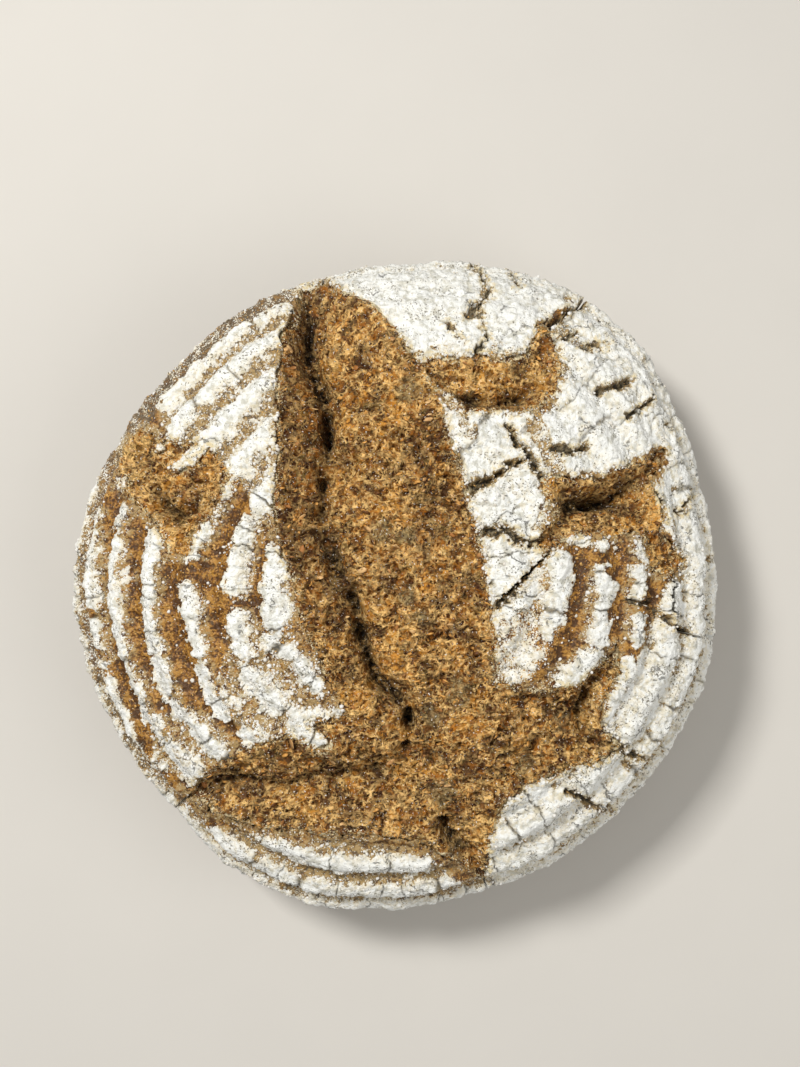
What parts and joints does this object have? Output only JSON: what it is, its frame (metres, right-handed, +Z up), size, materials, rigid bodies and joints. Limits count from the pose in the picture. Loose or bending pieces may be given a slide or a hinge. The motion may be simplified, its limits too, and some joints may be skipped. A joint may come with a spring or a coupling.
{
  "type": "round spelt loaf",
  "caption": "Round rustic spelt loaf with floured coil ridges from a proving basket and a wide brown oven tear down its crown; rests on its flat underside.",
  "frame": {"origin": "middle of the loaf's box, at the height of its flat underside", "axes": "+Z up through the crown, +Y towards the top of the picture, where the long tear meets the edge, +X to the picture's right"},
  "size_m": [0.222, 0.2244, 0.0861],
  "materials": {
    "crust": "matte",
    "flour": "matte",
    "crumb": "matte"
  },
  "bodies": {
    "root": {"loaf": "crust"}
  },
  "joints": []
}
